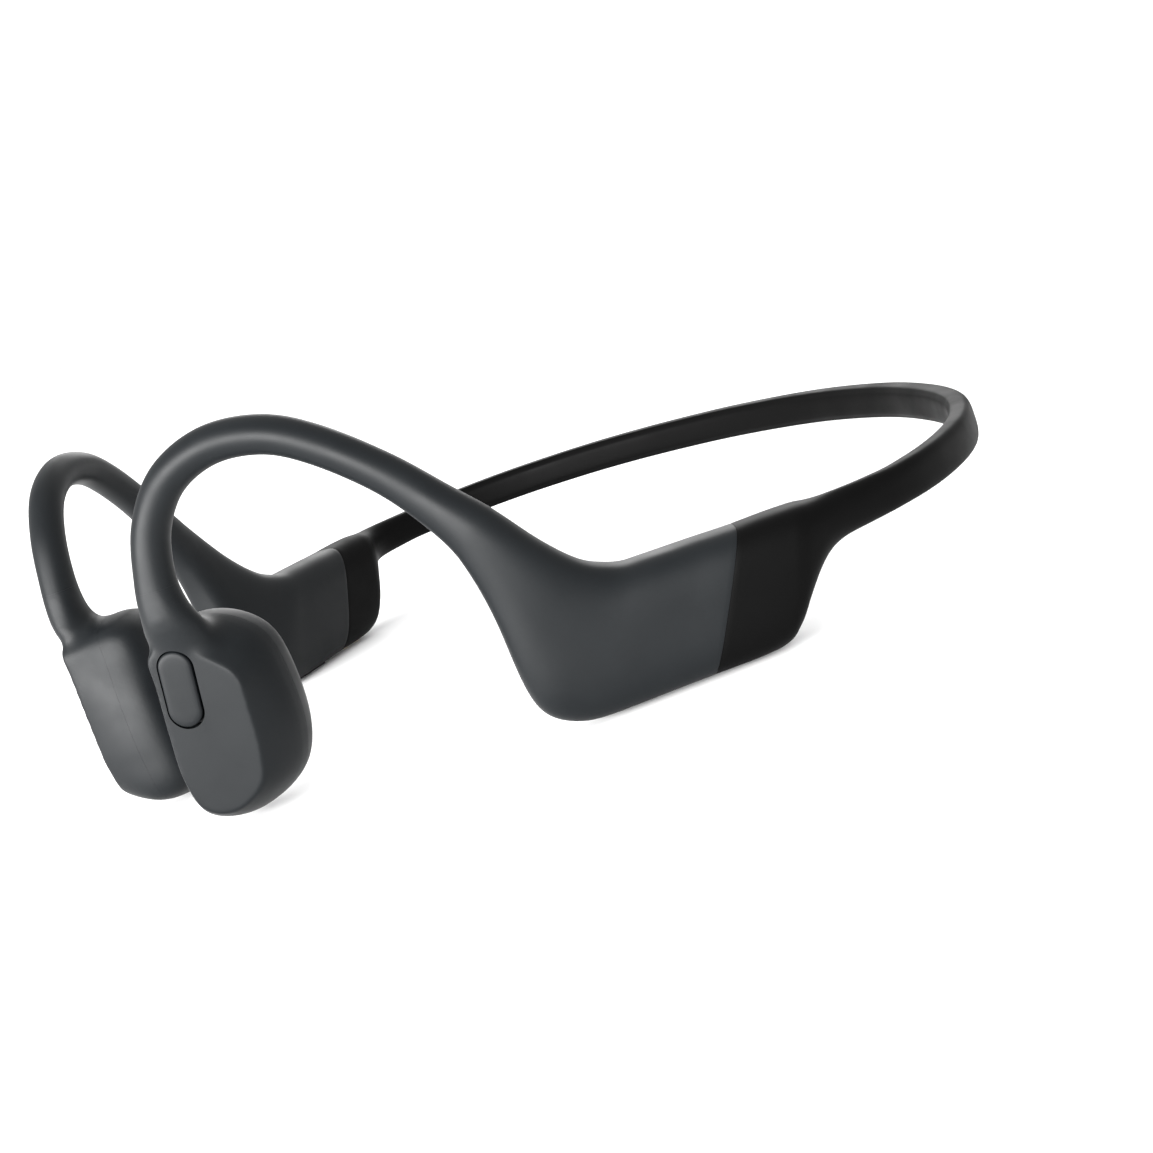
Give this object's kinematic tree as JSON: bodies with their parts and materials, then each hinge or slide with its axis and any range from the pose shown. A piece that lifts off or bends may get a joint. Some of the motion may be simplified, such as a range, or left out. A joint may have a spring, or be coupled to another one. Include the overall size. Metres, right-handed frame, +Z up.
{
  "type": "bone conduction headphones",
  "caption": "Open neckband headphones with hooks over the ears, a pod behind each ear and a flat vibrating transducer in front of each ear.",
  "frame": {"origin": "centre of the bounding box's bottom face, the part lying on its transducers and volume keys", "axes": "+Z up, -Y the way the wearer faces, +X towards the wearer's left ear"},
  "size_m": [0.1156, 0.1058, 0.0418],
  "materials": {
    "slate_shell": "soft-touch matte",
    "black_shell": "matte",
    "key_cap": "satin",
    "seal": "matte",
    "internal_plastic": "moulded",
    "cell_pouch": "foil",
    "board": "solder mask",
    "light_pipe": "clear",
    "lead_enamel": "enamel",
    "steel": "plain",
    "magnet": "plated",
    "copper": "bare wire",
    "gold_plate": "plated",
    "spring_wire": "drawn"
  },
  "bodies": {
    "band": {"band_middle": "black_shell", "band_wire": "spring_wire", "band_lead": "lead_enamel"},
    "left_side": {"left_hook_cover": "slate_shell", "left_pod_rear_cover": "black_shell", "left_hook_wire": "spring_wire", "left_hook_lead": "lead_enamel", "left_band_arm": "black_shell", "left_transducer_housing": "slate_shell", "left_contact_shell": "slate_shell", "left_voice_coil": "copper", "left_coil_bracket": "internal_plastic", "left_suspension_spring": "steel", "button_membrane": "seal", "button_switch": "steel", "button_flex_board": "board", "battery_tray": "internal_plastic", "battery_cell": "cell_pouch", "battery_protection_board": "board", "microphone": "steel"},
    "right_side": {"right_hook_cover": "slate_shell", "right_pod_rear_cover": "black_shell", "right_hook_wire": "spring_wire", "right_hook_lead": "lead_enamel", "right_band_arm": "black_shell", "right_transducer_housing": "slate_shell", "right_contact_shell": "slate_shell", "right_voice_coil": "copper", "right_coil_bracket": "internal_plastic", "right_suspension_spring": "steel", "key_membrane": "seal", "volume_down_switch": "steel", "volume_up_switch": "steel", "main_board": "board", "radio_shield": "steel", "charging_contact_front": "gold_plate", "charging_contact_rear": "gold_plate", "charging_magnet": "magnet", "status_light_pipe": "light_pipe"},
    "left_driver": {"left_driver_yoke": "steel", "left_driver_magnet": "magnet", "left_driver_top_plate": "steel"},
    "right_driver": {"right_driver_yoke": "steel", "right_driver_magnet": "magnet", "right_driver_top_plate": "steel"},
    "multifunction_button": {"multifunction_button": "slate_shell"},
    "volume_down_key": {"volume_down_key": "key_cap"},
    "volume_up_key": {"volume_up_key": "key_cap"}
  },
  "joints": [
    {"name": "left_flex", "type": "hinge", "parent": "band", "child": "left_side", "pos_m": [0.024, 0.04764, 0.011], "axis": [0, 0, 1], "range_deg": [-2, 22], "stiffness_Nm_per_rad": 0.3, "deforming": ["band_wire", "band_lead"]},
    {"name": "right_flex", "type": "hinge", "parent": "band", "child": "right_side", "pos_m": [-0.024, 0.04764, 0.011], "axis": [0, 0, -1], "range_deg": [-2, 22], "stiffness_Nm_per_rad": 0.3, "deforming": ["band_wire", "band_lead"]},
    {"name": "multifunction_press", "type": "slide", "parent": "left_side", "child": "multifunction_button", "axis": [-0.706, 0.706, 0.0558], "range_m": [0, 0.00025], "stiffness_N_per_m": 400},
    {"name": "volume_down_press", "type": "slide", "parent": "right_side", "child": "volume_down_key", "axis": [0, 0, 1], "range_m": [0, 0.0003], "stiffness_N_per_m": 400},
    {"name": "volume_up_press", "type": "slide", "parent": "right_side", "child": "volume_up_key", "axis": [0, 0, 1], "range_m": [0, 0.0003], "stiffness_N_per_m": 400},
    {"name": "left_driver_travel", "type": "slide", "parent": "left_side", "child": "left_driver", "axis": [-0.706, 0.706, 0.0558], "range_m": [-0.0001, 0.0001], "stiffness_N_per_m": 400},
    {"name": "right_driver_travel", "type": "slide", "parent": "right_side", "child": "right_driver", "axis": [0.706, 0.706, 0.0558], "range_m": [-0.0001, 0.0001], "stiffness_N_per_m": 400}
  ]
}
